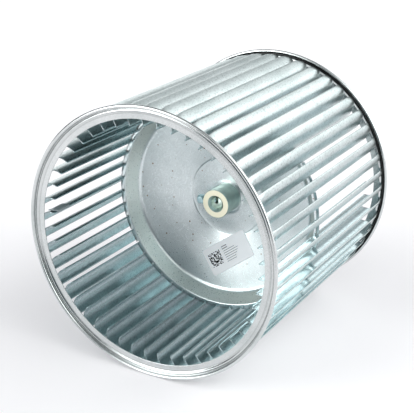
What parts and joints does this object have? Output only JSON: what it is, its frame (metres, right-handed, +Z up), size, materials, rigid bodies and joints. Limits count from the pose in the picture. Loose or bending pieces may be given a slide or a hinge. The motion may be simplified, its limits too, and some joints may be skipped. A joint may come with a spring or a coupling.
{
  "type": "double-inlet squirrel-cage blower wheel",
  "caption": "Galvanised double-inlet forward-curved blower wheel: end rings, blade cage, dished centre plate, hub with square-head set screw, balance clip and a plain label.",
  "frame": {"origin": "middle of the wheel: on its axis, halfway between the two end faces", "axes": "+Y along the wheel's axis from the set screw side (front) to the back, +Z up, +X to the right seen from the front"},
  "size_m": [0.27, 0.2666, 0.27],
  "materials": {
    "ring_steel": "galvanised sheet, rolled and bright on its edges",
    "blade_steel": "galvanised sheet with fine speckled spangle",
    "plate_steel": "galvanised sheet, fine grain, small rust specks",
    "hub_steel": "turned steel, yellow zinc plated",
    "screw_steel": "plain zinc plated steel",
    "clip_steel": "tempered spring steel",
    "label_film": "silvery white film with plain grey blocks and bars"
  },
  "bodies": {
    "wheel": {"front_end_ring": "ring_steel", "rear_end_ring": "ring_steel", "center_plate": "plate_steel", "hub": "hub_steel", "label": "label_film", "blade_01": "blade_steel", "blade_02": "blade_steel", "blade_03": "blade_steel", "blade_04": "blade_steel", "blade_05": "blade_steel", "blade_06": "blade_steel", "blade_07": "blade_steel", "blade_08": "blade_steel", "blade_09": "blade_steel", "blade_10": "blade_steel", "blade_11": "blade_steel", "blade_12": "blade_steel", "blade_13": "blade_steel", "blade_14": "blade_steel", "blade_15": "blade_steel", "blade_16": "blade_steel", "blade_17": "blade_steel", "blade_18": "blade_steel", "blade_19": "blade_steel", "blade_20": "blade_steel", "blade_21": "blade_steel", "blade_22": "blade_steel", "blade_23": "blade_steel", "blade_24": "blade_steel", "blade_25": "blade_steel", "blade_26": "blade_steel", "blade_27": "blade_steel", "blade_28": "blade_steel", "blade_29": "blade_steel", "blade_30": "blade_steel", "blade_31": "blade_steel", "blade_32": "blade_steel", "blade_33": "blade_steel", "blade_34": "blade_steel", "blade_35": "blade_steel", "blade_36": "blade_steel", "blade_37": "blade_steel", "blade_38": "blade_steel", "blade_39": "blade_steel", "blade_40": "blade_steel", "blade_41": "blade_steel", "blade_42": "blade_steel", "blade_43": "blade_steel", "blade_44": "blade_steel", "blade_45": "blade_steel", "blade_46": "blade_steel", "blade_47": "blade_steel", "blade_48": "blade_steel"},
    "set_screw": {"set_screw": "screw_steel"},
    "balance_clip": {"balance_clip": "clip_steel"}
  },
  "joints": [
    {"name": "set_screw_travel", "type": "slide", "parent": "wheel", "child": "set_screw", "axis": [-0.9936, 0, -0.1132], "range_m": [-0.0012, 0.006]},
    {"name": "balance_clip_slide", "type": "slide", "parent": "wheel", "child": "balance_clip", "axis": [0, 1, 0], "range_m": [-0.005, 0.094]}
  ]
}
